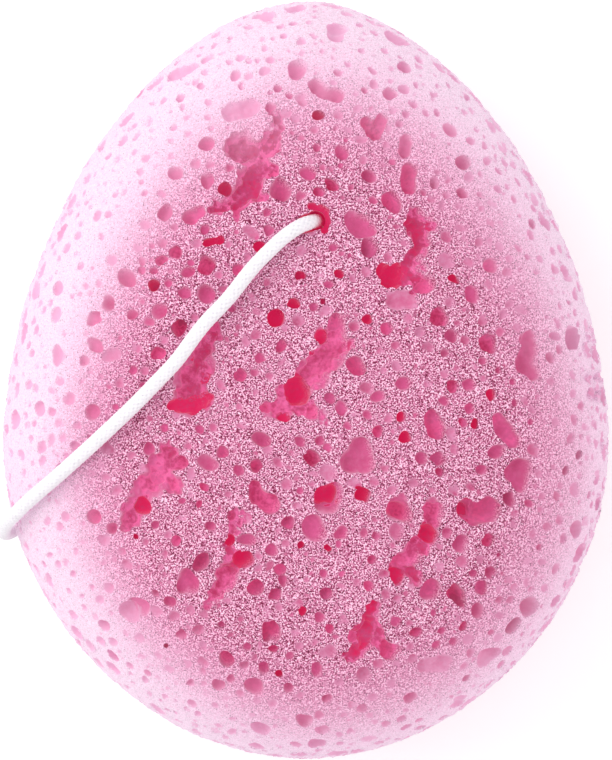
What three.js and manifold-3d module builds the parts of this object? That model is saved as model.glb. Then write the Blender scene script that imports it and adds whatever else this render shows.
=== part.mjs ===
// A bath sponge: an egg-shaped block of open-celled foam on a loop of white braided cord.
// The cord comes out of a bore in the front face, crosses the face and the lower left edge, runs back
// under the block in a pressed channel and is closed by a reef knot in a pocket at the bore's back mouth.
// Sizes are in millimetres. The sponge lies on its back: +Z is up, +Y points to the narrow tip, and the
// origin is the middle of the underside.

import * as THREE from "three";
import { mergeVertices } from "three/addons/utils/BufferGeometryUtils.js";
import Module from "manifold-3d";

// Foam block
const LENGTH = 140; // blunt end to narrow tip
const WIDTH = 112;
const THICKNESS = 50;
const TIP_REACH = 82; // widest line to narrow tip
const TIP_POWER = 1.8; // power of the superellipse outline on the tip side of the widest line
const BLUNT_POWER = 1.91; // and on the blunt side
const SIDE_POWER = 4; // how squarely the sides roll over into the two faces
const FLAT_WIDTH = 56; // of the flat underside
const OUTLINE_STEPS = 48;
const UNDERSIDE_STEPS = 6;
const FRONT_STEPS = 8;

// Cord, its bore and its channel
const CORD_DIAMETER = 3.2;
const CORD_SIDES = 8;
const STRETCH_GAP = 0.3; // between two stretches of the cord, end to end
const BORE_DIAMETER = 5.4;
const BORE_SIDES = 16;
const BORE_X = 1.7;
const BORE_Y = 28.5;
const MOUTH_CLEARANCE = 0.5; // round the cord where it bends out of the bore
const CHANNEL_CLEARANCE = 0.6; // round the cord in the channel under the block
const CHANNEL_DROP = 1.6; // lowers a second cut, so that the channel is open below
const CUT_STEP = 2; // along the bends of the mouths and the channel

// Reef knot at the bore's back mouth
const KNOT_TURN = THREE.MathUtils.degToRad(46); // from +X to the line of the under run
const KNOT_REACH = 20; // bore axis to the middle of the knot
const KNOT_PITCH = 3.9; // spacing of two strands that lie side by side or cross
const KNOT_SPREAD = 4.8; // how far a strand moves outwards between its narrow and its wide end
const KNOT_HALF_LENGTH = 5; // middle of the knot to where a strand starts to turn back
const KNOT_TURN_DEPTH = 4.4; // how far the turned-back loop reaches beyond that
const KNOT_TAIL = 4; // cord left over past the loop
const KNOT_STEPS = 8; // parts of each crossing and each loop
const POCKET_CLEARANCE = 1; // round the knot and above it
const POCKET_BEVEL = 2; // rounds the pocket's ceiling
const POCKET_BEVEL_STEPS = 2;

// Pores: bubbles cut open by the skin. Below it those of the face lean towards the block's middle.
const PORE_SWELL = 1.1; // bubble radius over mouth radius
const PORE_SINK = 0.15; // depth of the bubble's middle over mouth radius
const PORE_FACETS = 1; // subdivisions of the octahedron that cuts a pore
const LEAN_IN = 0.6; // sideways per depth, for a bubble at the outline
const LEAN_LEFT = 0.2; // and more to the left for each bubble of the face
const GOLDEN_ANGLE = Math.PI * (3 - Math.sqrt(5)); // spreads the pores of the sides and the underside
const SIDE_PORES = 22;
const SIDE_PORE_RISE = THREE.MathUtils.degToRad(38); // how far above and below the edge they lie
const SIDE_PORE_WAVE = 1.9; // turns the row up and down from pore to pore
const UNDER_PORES = 16;
const UNDER_PORE_SHARE = 0.86; // outermost of them, as a share of the outline
const SCATTERED_PORE = 1.9; // mouth radius on the sides and the underside
const SCATTERED_SPREAD = 0.5; // how much it varies

// The face's pores are read off a picture of the front with the narrow tip up. Each entry is one bubble:
// the pixel of its middle, across and down, and its mouth radius in pixels.
const PICTURE_MIDDLE_X = 306;
const PICTURE_MIDDLE_Y = 380;
const PICTURE_WIDTH = 627; // pixels that the block's width has at the height of the face
const PICTURE_LENGTH = 785; // and its length

// Worm-shaped cavities of the face, where bubbles ran together, one on each line
const CAVITIES = [
  [[239, 145, 16], [253, 149, 12], [268, 144, 11], [276, 125, 6], [259, 165, 11], [249, 184, 14], [235, 199, 13],
    [219, 208, 7], [274, 171, 6]],
  [[417, 222, 14], [432, 222, 7], [424, 242, 11], [414, 260, 11], [394, 276, 14], [425, 285, 11], [410, 275, 9]],
  [[337, 325, 9], [325, 338, 9], [337, 346, 14], [325, 361, 17], [311, 375, 15], [298, 390, 14], [283, 410, 11],
    [296, 405, 9], [312, 411, 9], [267, 408, 7], [323, 378, 9]],
  [[213, 332, 8], [204, 346, 12], [199, 365, 16], [191, 385, 20], [190, 401, 15], [173, 405, 7], [206, 402, 9]],
  [[168, 450, 10], [161, 468, 13], [152, 481, 13], [174, 484, 11], [178, 464, 8], [142, 497, 12], [132, 516, 13]],
  [[232, 518, 6], [230, 530, 6], [231, 545, 6], [230, 569, 12], [242, 561, 8], [221, 585, 10], [210, 599, 6]],
  [[434, 512, 13], [431, 531, 10], [416, 546, 10], [408, 560, 11], [399, 573, 12], [416, 577, 9]],
  [[375, 608, 8], [371, 621, 9], [368, 636, 11], [355, 637, 8], [357, 655, 8], [389, 651, 10], [379, 640, 7]],
  [[531, 340, 9], [527, 360, 14], [535, 374, 8]],
];

// The largest single pores of the face
const FRONT_PORES = [
  [375, 125, 12], [410, 178, 12], [332, 185, 8], [393, 202, 10], [206, 265, 10], [180, 327, 10], [440, 317, 9],
  [368, 247, 10], [357, 366, 10], [489, 344, 10], [473, 509, 14], [488, 511, 12], [435, 423, 11], [312, 458, 10],
  [260, 496, 12], [400, 510, 12], [201, 561, 10], [256, 587, 9], [270, 631, 11], [227, 658, 9], [457, 595, 11],
  [276, 316, 9], [361, 224, 14], [356, 458, 15], [330, 497, 14], [363, 495, 8], [506, 429, 13], [520, 473, 14],
  [314, 529, 12], [188, 583, 13], [431, 591, 11], [296, 70, 12], [281, 190, 11], [322, 90, 11], [243, 109, 12],
  [207, 143, 9], [127, 278, 10], [111, 358, 10], [139, 608, 12], [427, 666, 11], [256, 688, 10], [461, 543, 10],
];

// The cord's middle line between the two halves of the knot, as places chosen by hand. A stretch runs
// from its own first point to the first point of the next one, with a step given in cord diameters.
const UNDER_RUN = [[-27.7, -1.9, 1.9], [-33.8, -8.3, 1.9], [-40, -14.7, 1.9]];
const RIM_RUN = [
  [-44.6, -19.2, 2.2], [-48.7, -23.1, 4.8], [-51.9, -26, 9.6], [-54.2, -27.8, 15.2], [-55.4, -28.4, 21.5],
  [-55.6, -28, 27], [-54.6, -26.1, 33.7], [-52.7, -24.3, 38.2],
];
const FRONT_FAR = [[-50.1, -21.9, 41.8], [-44.4, -17.1, 46.5], [-37.2, -10.7, 49.5], [-30.2, -4.1, 50.8]];
const FRONT_MIDDLE = [[-26.7, -0.5, 51.2], [-23.2, 3.2, 51.4]];
const FRONT_NEAR = [[-18.2, 9.8, 51.5], [-13.9, 14.4, 51.6], [-9.4, 20, 51.6]];
const BORE_APPROACH = [[-6.4, 23.1, 51.5]];
const FRONT_BEND = [[-3.8, 25.5, 51.4], [-1.2, 27.3, 50.4], [0.9, 28.2, 48.1], [BORE_X, BORE_Y, 44.9]];
const BORE_STRAIGHT = [[BORE_X, BORE_Y, 36], [BORE_X, BORE_Y, 24]];
const BACK_BEND = [[BORE_X, BORE_Y, 12], [1.1, 27.9, 8.8], [-0.5, 26.2, 6.5]];
const BORE_RUN = [...BORE_APPROACH, ...FRONT_BEND, ...BORE_STRAIGHT, ...BACK_BEND];
const KNOT_STEP = 0.7;
const BEND_STEP = 1.3;
const OPEN_STEP = 2.2;
const CURVE_SAMPLES = 12; // between two of these points, when lengths are measured
const PART_SAMPLE = 0.4; // distance between samples along a part of the cord

const foamMaterial = new THREE.MeshStandardMaterial({ color: "#efa9c9", roughness: 0.95, metalness: 0 });
const cordMaterial = new THREE.MeshStandardMaterial({ color: "#f2f0ec", roughness: 0.85, metalness: 0 });

// Worked out from the values above
const halfWidth = WIDTH / 2;
const bluntReach = LENGTH - TIP_REACH;
const widestY = LENGTH / 2 - TIP_REACH;
const middleZ = THICKNESS / 2;
const flatShare = FLAT_WIDTH / WIDTH;
const flatRise = Math.acos(flatShare ** (SIDE_POWER / 2));
const underHeight = middleZ / Math.sin(flatRise);
const cordRadius = CORD_DIAMETER / 2;
const pixel = LENGTH / PICTURE_LENGTH;

const wasm = await Module();
wasm.setup();

// A closed geometry as a solid that can be cut
function toSolid(geometry) {
  const bare = geometry.clone();
  bare.deleteAttribute("normal");
  bare.deleteAttribute("uv");
  const merged = mergeVertices(bare);
  const corners = merged.getIndex().array;
  const triangles = [];
  for (let i = 0; i < corners.length; i += 3) {
    const [a, b, c] = corners.slice(i, i + 3);
    if (a !== b && b !== c && c !== a) triangles.push(a, b, c);
  }
  const vertProperties = merged.getAttribute("position").array;
  const triVerts = Uint32Array.from(triangles);
  return new wasm.Manifold(new wasm.Mesh({ numProp: 3, vertProperties, triVerts }));
}

function toGeometry(solid) {
  const mesh = solid.getMesh();
  const geometry = new THREE.BufferGeometry();
  geometry.setAttribute("position", new THREE.BufferAttribute(mesh.vertProperties, mesh.numProp));
  geometry.setIndex(new THREE.BufferAttribute(mesh.triVerts, 1));
  geometry.computeVertexNormals();
  return geometry;
}

function signedPower(value, power) {
  return Math.sign(value) * Math.abs(value) ** power;
}

// Reach and power of the egg outline on the side of the widest line where y lies
function outlineSide(y) {
  return y >= 0 ? [TIP_REACH, TIP_POWER] : [bluntReach, BLUNT_POWER];
}

// A place on the skin: turn goes round the outline, rise from the edge up to the front or down underneath
function skinPlace(turn, rise) {
  const [reach, power] = outlineSide(Math.cos(turn));
  const share = Math.cos(rise) ** (2 / SIDE_POWER);
  const x = share * halfWidth * signedPower(Math.sin(turn), 2 / power);
  const y = share * reach * signedPower(Math.cos(turn), 2 / power);
  const height = rise >= 0 ? middleZ : underHeight;
  return new THREE.Vector3(x, widestY + y, middleZ + height * Math.sin(rise));
}

// The place on the front face that a pixel of the picture shows
function facePlace(pixelX, pixelY) {
  const x = ((pixelX - PICTURE_MIDDLE_X) / PICTURE_WIDTH) * WIDTH;
  const y = (PICTURE_MIDDLE_Y - pixelY) * pixel;
  const [reach, power] = outlineSide(y - widestY);
  const across = Math.abs(x) / halfWidth;
  const along = Math.abs(y - widestY) / reach;
  const share = (across ** power + along ** power) ** (1 / power);
  return new THREE.Vector3(x, y, middleZ + middleZ * Math.sqrt(1 - share ** SIDE_POWER));
}

function skinNormal(place) {
  const y = place.y - widestY;
  const z = place.z - middleZ;
  const [reach, power] = outlineSide(y);
  const across = place.x / halfWidth;
  const along = y / reach;
  const share = (Math.abs(across) ** power + Math.abs(along) ** power) ** (1 / power);
  const sideways = SIDE_POWER * share ** (SIDE_POWER - power);
  const height = z >= 0 ? middleZ : underHeight;
  return new THREE.Vector3(
    (sideways * signedPower(across, power - 1)) / halfWidth,
    (sideways * signedPower(along, power - 1)) / reach,
    (2 * z) / height ** 2,
  ).normalize();
}

// A corner of the block's half section, as a share of the outline and a height
function sectionCorner(rise, height) {
  return new THREE.Vector2(Math.cos(rise) ** (2 / SIDE_POWER), middleZ + height * Math.sin(rise));
}

// The egg-shaped block before any cut: a revolved half section, drawn out to the egg outline
function foamBlank() {
  const section = [new THREE.Vector2(0, THICKNESS)];
  for (let i = FRONT_STEPS - 1; i >= 0; i--) {
    section.push(sectionCorner((i / FRONT_STEPS) * (Math.PI / 2), middleZ));
  }
  for (let i = 1; i < UNDERSIDE_STEPS; i++) {
    section.push(sectionCorner((i / UNDERSIDE_STEPS) * flatRise, -underHeight));
  }
  section.push(new THREE.Vector2(flatShare, 0), new THREE.Vector2(0, 0));
  const geometry = new THREE.LatheGeometry(section, OUTLINE_STEPS);
  const position = geometry.getAttribute("position");
  for (let i = 0; i < position.count; i++) {
    const share = Math.hypot(position.getX(i), position.getZ(i));
    const turn = Math.atan2(position.getX(i), position.getZ(i));
    const edge = skinPlace(turn, 0);
    position.setXYZ(i, share * edge.x, widestY + share * (edge.y - widestY), position.getY(i));
  }
  return toSolid(geometry);
}

// How far a bubble is drawn sideways per depth below the skin
function lean(place, normal) {
  const onFace = THREE.MathUtils.clamp(2 * normal.z, 0, 1);
  const x = -LEAN_IN * (place.x / halfWidth) - LEAN_LEFT;
  const y = -LEAN_IN * ((place.y - widestY) / TIP_REACH);
  return new THREE.Vector3(x, y, 0).multiplyScalar(onFace);
}

function pore(place, mouth) {
  const normal = skinNormal(place);
  const sideways = lean(place, normal);
  const bubble = new THREE.OctahedronGeometry(PORE_SWELL * mouth, PORE_FACETS);
  const position = bubble.getAttribute("position");
  const corner = new THREE.Vector3();
  for (let i = 0; i < position.count; i++) {
    corner.fromBufferAttribute(position, i).addScaledVector(normal, -PORE_SINK * mouth);
    corner.addScaledVector(sideways, Math.max(0, -corner.dot(normal))).add(place);
    position.setXYZ(i, corner.x, corner.y, corner.z);
  }
  return toSolid(bubble);
}

function facePores(list) {
  return list.map(([pixelX, pixelY, radius]) => pore(facePlace(pixelX, pixelY), radius * pixel));
}

// All pores and cavities, as one cutting solid
function pores() {
  const cuts = [...facePores(CAVITIES.flat()), ...facePores(FRONT_PORES)];
  for (let i = 0; i < SIDE_PORES; i++) {
    const rise = SIDE_PORE_RISE * Math.sin(SIDE_PORE_WAVE * i);
    const mouth = SCATTERED_PORE + SCATTERED_SPREAD * Math.sin(i * i);
    cuts.push(pore(skinPlace(GOLDEN_ANGLE * i, rise), mouth));
  }
  for (let i = 0; i < UNDER_PORES; i++) {
    const share = UNDER_PORE_SHARE * Math.sqrt((i + 0.5) / UNDER_PORES);
    const rise = -Math.min(flatRise, Math.acos(share ** (SIDE_POWER / 2)));
    const place = skinPlace(GOLDEN_ANGLE * i, rise);
    if (share < flatShare) {
      place.x *= share / flatShare;
      place.y = widestY + (place.y - widestY) * (share / flatShare);
    }
    cuts.push(pore(place, SCATTERED_PORE + SCATTERED_SPREAD * Math.sin(i * i)));
  }
  return cuts.reduce((all, cut) => all.add(cut));
}

// A round bar along a curve
function bar(curve, radius, steps) {
  const corners = [];
  for (let i = 0; i < CORD_SIDES; i++) {
    const turn = (2 * Math.PI * i) / CORD_SIDES;
    corners.push(new THREE.Vector2(radius * Math.cos(turn), radius * Math.sin(turn)));
  }
  const section = new THREE.Shape(corners);
  return new THREE.ExtrudeGeometry(section, { steps, extrudePath: curve, bevelEnabled: false });
}

// The knot's own directions: x along the under run towards the bore, y across it, z up
const knotAlong = new THREE.Vector3(Math.cos(KNOT_TURN), Math.sin(KNOT_TURN), 0);
const knotAcross = new THREE.Vector3(-Math.sin(KNOT_TURN), Math.cos(KNOT_TURN), 0);
const knotMiddle = new THREE.Vector3(BORE_X, BORE_Y, UNDER_RUN[0][2] + KNOT_PITCH / 2)
  .addScaledVector(knotAlong, -KNOT_REACH)
  .addScaledVector(knotAcross, -KNOT_PITCH / 2);

// One half of the reef knot, from its tail to where it leaves the knot. A strand comes in low and narrow,
// rises over the other half while it spreads, turns back in a flat loop and leaves as it came. The bore's
// half is the same bend turned over, so that each half lies through the other.
function knotHalf(turnedOver) {
  const low = -KNOT_PITCH / 2;
  const narrow = KNOT_PITCH / 2;
  const end = KNOT_HALF_LENGTH + KNOT_TURN_DEPTH + KNOT_TAIL;
  const leg = [[-end, narrow, low]];
  for (let i = 0; i <= KNOT_STEPS; i++) {
    const x = KNOT_HALF_LENGTH * ((2 * i) / KNOT_STEPS - 1);
    const eased = THREE.MathUtils.smoothstep(i / KNOT_STEPS, 0, 1);
    const spread = KNOT_SPREAD * THREE.MathUtils.smoothstep(eased, 0, 1);
    leg.push([x, narrow + spread, -low * Math.cos((Math.PI * x) / KNOT_HALF_LENGTH)]);
  }
  const loop = [];
  for (let i = 1; i < KNOT_STEPS; i++) {
    const turn = (Math.PI * i) / KNOT_STEPS;
    const x = KNOT_HALF_LENGTH + KNOT_TURN_DEPTH * Math.sin(turn);
    loop.push([x, -(narrow + KNOT_SPREAD) * Math.cos(turn), low]);
  }
  const tail = leg.map(([x, y, z]) => [x, -y, z]);
  const side = turnedOver ? -1 : 1;
  return [...tail, ...loop, ...leg.reverse()].map(([x, y, z]) =>
    knotMiddle
      .clone()
      .addScaledVector(knotAlong, side * x)
      .addScaledVector(knotAcross, y)
      .add(new THREE.Vector3(0, 0, side * z)),
  );
}

function places(list) {
  return list.map(([x, y, z]) => new THREE.Vector3(x, y, z));
}

// The whole cord from tail to tail, stretch by stretch
const stretches = [
  { name: "cord_back_end", step: KNOT_STEP, points: [...knotHalf(false), ...places(UNDER_RUN)] },
  { name: "cord_rim_run", step: BEND_STEP, points: places(RIM_RUN) },
  { name: "cord_front_far", step: OPEN_STEP, points: places(FRONT_FAR) },
  { name: "cord_front_middle", step: OPEN_STEP, points: places(FRONT_MIDDLE) },
  { name: "cord_front_near", step: OPEN_STEP, points: places(FRONT_NEAR) },
  { name: "cord_bore_end", step: KNOT_STEP, points: [...places(BORE_RUN), ...knotHalf(true).reverse()] },
];
const cordCurve = new THREE.CatmullRomCurve3(stretches.flatMap((stretch) => stretch.points));
cordCurve.arcLengthDivisions = CURVE_SAMPLES * (cordCurve.points.length - 1);
const cordLengths = cordCurve.getLengths();
const cordLength = cordCurve.getLength();
console.log(`cord length ${cordLength.toFixed(1)} mm`);

// The part of the cord between two distances from its start, as a curve of its own
function cordPart(from, to) {
  const samples = Math.ceil((to - from) / PART_SAMPLE);
  const points = [];
  for (let i = 0; i <= samples; i++) {
    points.push(cordCurve.getPointAt((from + ((to - from) * i) / samples) / cordLength));
  }
  return new THREE.CatmullRomCurve3(points);
}

function distanceOf(pointIndex) {
  return cordLengths[CURVE_SAMPLES * pointIndex];
}

// Number of a stretch's first point along the whole cord
function firstPointOf(name) {
  const before = stretches.slice(0, stretches.findIndex((stretch) => stretch.name === name));
  return before.reduce((count, stretch) => count + stretch.points.length, 0);
}

// A bar that follows the cord from one of its points to another, with a clearance all round
function cordCut(firstPoint, lastPoint, clearance) {
  const from = distanceOf(firstPoint);
  const to = distanceOf(lastPoint);
  return bar(cordPart(from, to), cordRadius + clearance, Math.ceil((to - from) / CUT_STEP));
}

// Bore through the block, eased where the cord bends out of it at both ends
function boreCut() {
  const radius = BORE_DIAMETER / 2;
  const hole = new THREE.CylinderGeometry(radius, radius, 2 * THICKNESS, BORE_SIDES);
  const straight = toSolid(hole.rotateX(Math.PI / 2).translate(BORE_X, BORE_Y, middleZ));
  const frontBend = firstPointOf("cord_bore_end") + BORE_APPROACH.length;
  const backBend = frontBend + FRONT_BEND.length + BORE_STRAIGHT.length;
  const front = cordCut(frontBend, frontBend + FRONT_BEND.length, MOUTH_CLEARANCE);
  const back = cordCut(backBend, backBend + BACK_BEND.length, MOUTH_CLEARANCE);
  return straight.add(toSolid(front)).add(toSolid(back));
}

// Channel pressed into the underside by the cord, open below
function channelCut() {
  const rim = firstPointOf("cord_rim_run");
  const around = cordCut(rim - UNDER_RUN.length - 1, rim, CHANNEL_CLEARANCE);
  const below = around.clone().translate(0, 0, -CHANNEL_DROP);
  return toSolid(around).add(toSolid(below));
}

// Pocket pressed into the underside by the knot: a long hole with round ends and a rounded ceiling
function pocketCut() {
  const halfWide = KNOT_PITCH / 2 + KNOT_SPREAD + cordRadius + POCKET_CLEARANCE;
  const halfLong = KNOT_HALF_LENGTH + KNOT_TURN_DEPTH + KNOT_TAIL + POCKET_CLEARANCE;
  const top = knotMiddle.z + KNOT_PITCH / 2 + cordRadius + POCKET_CLEARANCE;
  const ends = halfLong - halfWide;
  const outline = new THREE.Shape();
  outline.absarc(ends, 0, halfWide - POCKET_BEVEL, -Math.PI / 2, Math.PI / 2);
  outline.absarc(-ends, 0, halfWide - POCKET_BEVEL, Math.PI / 2, (3 * Math.PI) / 2);
  const hole = new THREE.ExtrudeGeometry(outline, {
    depth: 2 * (top - POCKET_BEVEL),
    curveSegments: CORD_SIDES / 2,
    bevelThickness: POCKET_BEVEL,
    bevelSize: POCKET_BEVEL,
    bevelSegments: POCKET_BEVEL_STEPS,
  });
  hole.rotateZ(KNOT_TURN).translate(knotMiddle.x, knotMiddle.y, POCKET_BEVEL - top);
  return toSolid(hole);
}

const sponge = new THREE.Group();

function addPiece(name, geometry, material) {
  const piece = new THREE.Mesh(geometry, material);
  piece.name = name;
  sponge.add(piece);
}

// Crumbs that the pores cut loose fall out, so the largest body is the block
const cuts = [boreCut(), channelCut(), pocketCut(), pores()];
const bodies = cuts.reduce((block, cut) => block.subtract(cut), foamBlank()).decompose();
const foam = bodies.reduce((largest, body) => (body.volume() > largest.volume() ? body : largest));
addPiece("foam_body", toGeometry(foam), foamMaterial);

for (const stretch of stretches) {
  const firstPoint = firstPointOf(stretch.name);
  const nextPoint = Math.min(firstPoint + stretch.points.length, cordCurve.points.length - 1);
  const from = distanceOf(firstPoint) + STRETCH_GAP / 2;
  const to = distanceOf(nextPoint) - STRETCH_GAP / 2;
  const steps = Math.ceil((to - from) / (stretch.step * CORD_DIAMETER));
  addPiece(stretch.name, bar(cordPart(from, to), cordRadius, steps), cordMaterial);
}

export default sponge;
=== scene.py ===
# A bath sponge: an egg-shaped block of pink open-celled foam on a loop of white braided cord.
# Places are in metres in the part's own frame, apart from values whose name or comment says millimetres.
import math

import bpy
import numpy as np
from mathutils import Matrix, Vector, noise


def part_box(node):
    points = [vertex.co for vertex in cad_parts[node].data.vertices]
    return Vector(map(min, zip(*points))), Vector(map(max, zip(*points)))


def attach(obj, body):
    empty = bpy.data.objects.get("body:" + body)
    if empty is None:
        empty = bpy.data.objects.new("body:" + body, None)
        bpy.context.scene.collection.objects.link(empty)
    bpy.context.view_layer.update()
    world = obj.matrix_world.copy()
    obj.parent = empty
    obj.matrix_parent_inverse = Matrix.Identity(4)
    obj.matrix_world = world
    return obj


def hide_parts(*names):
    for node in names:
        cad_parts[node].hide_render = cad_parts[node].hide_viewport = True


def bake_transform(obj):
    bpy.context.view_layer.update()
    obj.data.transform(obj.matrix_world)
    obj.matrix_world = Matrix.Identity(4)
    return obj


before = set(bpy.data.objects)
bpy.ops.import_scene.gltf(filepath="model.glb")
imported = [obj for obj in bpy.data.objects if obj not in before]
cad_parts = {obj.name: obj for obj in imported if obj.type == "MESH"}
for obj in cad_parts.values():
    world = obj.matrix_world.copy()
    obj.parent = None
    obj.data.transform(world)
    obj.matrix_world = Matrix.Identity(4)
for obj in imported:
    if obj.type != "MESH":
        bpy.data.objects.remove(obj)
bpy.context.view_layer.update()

MM = 0.001

# Viewpoint
# The sponge lies on its back and is seen straight from above, with its narrow end up in the picture.
# The picture is as high as the block is long, and the lens is long, so that the edge hides little.
PICTURE_SIZE = (612, 760)
PICTURE_SCALE = 0.1847 * MM  # one pixel, at half the block's thickness
VIEW_DISTANCE = 0.7  # from half the block's thickness
SENSOR = 36.0
foam_low, foam_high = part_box("foam_body")
middle_height = (foam_low.z + foam_high.z) / 2
view_height = middle_height + VIEW_DISTANCE
bpy.ops.object.camera_add(location=(0, 0, view_height), rotation=(0, 0, 0))
camera = bpy.context.object
camera.name = "photo_view"
camera.data.sensor_width = SENSOR
camera.data.lens = SENSOR * VIEW_DISTANCE / (PICTURE_SIZE[1] * PICTURE_SCALE)
bpy.context.scene.camera = camera
bpy.context.scene.view_settings.view_transform = "Standard"


# Cord
# One length of white polyester cord, braided from 16 carriers of three yarns each, 2.7 mm thick.
# It comes out of the bore, crosses the face and the lower left edge, runs back under the block and is
# closed by a reef knot at the bore's back mouth. Its ends are melted to round tips.
CORD_RADIUS = 1.6 * MM  # that its bore and channel are made for
BRAID_RADIUS = 1.35 * MM  # as the picture shows it, drawn tight over the face
CORD_RING_STEP = 0.2 * MM
CORD_SIDES = 64
CARRIERS = 8  # that turn one way round the cord, and as many turn the other way
CARRIER_YARNS = 3
BRAID_LEAD = 9.0 * MM  # one turn of a carrier
CARRIER_CROWN = 0.18 * MM  # how far a carrier stands out at the middle of its crossing
YARN_GROOVE = 0.035 * MM
CROWN_ACROSS = 0.75  # how much a carrier falls off across its width
CROWN_ALONG = 0.5  # and along its crossing
TIP_LENGTH = 1.3 * MM
TIP_ROUND = 0.96  # at 1 the tips would be pointed
CORD_SMOOTH = math.radians(60)  # sharper edges stay edges

# The route in millimetres: the under run, the run over the edge, the front strand and the bore
UNDER_RUN = [(-27.7, -1.9, 1.9), (-33.8, -8.3, 1.9), (-40, -14.7, 1.9)]
RIM_RUN = [
    (-44.6, -19.2, 2.2), (-48.7, -23.1, 4.8), (-51.9, -26, 9.6), (-54.2, -27.8, 15.2), (-55.4, -28.4, 21.5),
    (-55.6, -28, 27), (-54.6, -26.1, 33.7), (-52.7, -24.3, 38.2),
]
FRONT_FAR = [(-50.1, -21.9, 41.8), (-44.4, -17.1, 46.5), (-37.2, -10.7, 49.5), (-30.2, -4.1, 50.8)]
FRONT_MIDDLE = [(-26.7, -0.5, 51.2), (-23.2, 3.2, 51.4)]
FRONT_NEAR = [(-18.2, 9.8, 51.5), (-13.9, 14.4, 51.6), (-9.4, 20, 51.6)]
BORE_PLACE = (1.7, 28.5)
BORE_MOUTH = 49
BORE_FRONT = [
    (-6.4, 23.1, 51.5), (-3.8, 25.5, 51.4), (-1.2, 27.3, 50.4), (0.9, 28.2, 48.1), (*BORE_PLACE, 44.9),
]
BORE_STRAIGHT = [(*BORE_PLACE, 36), (*BORE_PLACE, 24)]
BORE_BACK = [(*BORE_PLACE, 12), (1.1, 27.9, 8.8), (-0.5, 26.2, 6.5)]

# The reef knot in millimetres
KNOT_TURN = math.radians(46)
KNOT_REACH = 20
KNOT_PITCH = 3.9
KNOT_SPREAD = 4.8
KNOT_HALF_LENGTH = 5
KNOT_TURN_DEPTH = 4.4
KNOT_TAIL = 4
KNOT_STEPS = 8
knot_along = np.array([math.cos(KNOT_TURN), math.sin(KNOT_TURN), 0])
knot_across = np.array([-math.sin(KNOT_TURN), math.cos(KNOT_TURN), 0])
knot_middle = np.array([*BORE_PLACE, UNDER_RUN[0][2] + KNOT_PITCH / 2])
knot_middle += -KNOT_REACH * knot_along - KNOT_PITCH / 2 * knot_across


def eased(share):
    return share * share * (3 - 2 * share)


def knot_half(turned_over):
    """One half of the knot from its tail to where it leaves the knot, in millimetres."""
    low = -KNOT_PITCH / 2
    narrow = KNOT_PITCH / 2
    leg = [(-(KNOT_HALF_LENGTH + KNOT_TURN_DEPTH + KNOT_TAIL), narrow, low)]
    for i in range(KNOT_STEPS + 1):
        x = KNOT_HALF_LENGTH * (2 * i / KNOT_STEPS - 1)
        spread = KNOT_SPREAD * eased(eased(i / KNOT_STEPS))
        leg.append((x, narrow + spread, -low * math.cos(math.pi * x / KNOT_HALF_LENGTH)))
    loop = []
    for i in range(1, KNOT_STEPS):
        turn = math.pi * i / KNOT_STEPS
        x = KNOT_HALF_LENGTH + KNOT_TURN_DEPTH * math.sin(turn)
        loop.append((x, -(narrow + KNOT_SPREAD) * math.cos(turn), low))
    tail = [(x, -y, z) for x, y, z in leg]
    side = -1 if turned_over else 1
    up = np.array([0, 0, 1])
    return [
        tuple(knot_middle + side * x * knot_along + y * knot_across + side * z * up)
        for x, y, z in tail + loop + leg[::-1]
    ]


def smooth_line(points, samples=48):
    """A centripetal Catmull-Rom line through the points."""
    points = np.array(points, float)
    ends = [2 * points[0] - points[1], 2 * points[-1] - points[-2]]
    points = np.vstack([ends[0], points, ends[1]])
    share = np.linspace(0, 1, samples, endpoint=False)[:, None]
    line = []
    for p0, p1, p2, p3 in zip(points, points[1:], points[2:], points[3:]):
        before, here, after = (math.sqrt(np.linalg.norm(d)) for d in (p1 - p0, p2 - p1, p3 - p2))
        leave = here * ((p1 - p0) / before - (p2 - p0) / (before + here)) + (p2 - p1)
        arrive = (p2 - p1) + here * ((p3 - p2) / after - (p3 - p1) / (here + after))
        a = 2 * p1 - 2 * p2 + leave + arrive
        b = -3 * p1 + 3 * p2 - 2 * leave - arrive
        line.append(((a * share + b) * share + leave) * share + p1)
    return np.vstack([*line, points[-2]])


under_half = knot_half(False) + UNDER_RUN
front_strand = FRONT_FAR + FRONT_MIDDLE + FRONT_NEAR
bore_half = BORE_FRONT + BORE_STRAIGHT + BORE_BACK + knot_half(True)[::-1]
route = under_half + RIM_RUN + front_strand + bore_half
rough_line = smooth_line(route) * MM
rough_along = np.concatenate([[0], np.cumsum(np.linalg.norm(np.diff(rough_line, axis=0), axis=1))])
ring_count = int(rough_along[-1] / CORD_RING_STEP) + 1
ring_along = np.linspace(0, rough_along[-1], ring_count)
cord_line = np.stack([np.interp(ring_along, rough_along, rough_line[:, k]) for k in range(3)], axis=1)

# Directions across the cord at each ring, carried along it without twist
cord_tangent = np.gradient(cord_line, axis=0)
cord_tangent /= np.linalg.norm(cord_tangent, axis=1)[:, None]
cord_side = np.zeros_like(cord_line)
side_now = np.cross(cord_tangent[0], (0, 0, 1))
for i, tangent in enumerate(cord_tangent):
    side_now = side_now - tangent * (side_now @ tangent)
    side_now /= np.linalg.norm(side_now)
    cord_side[i] = side_now
cord_up = np.cross(cord_tangent, cord_side)

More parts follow.
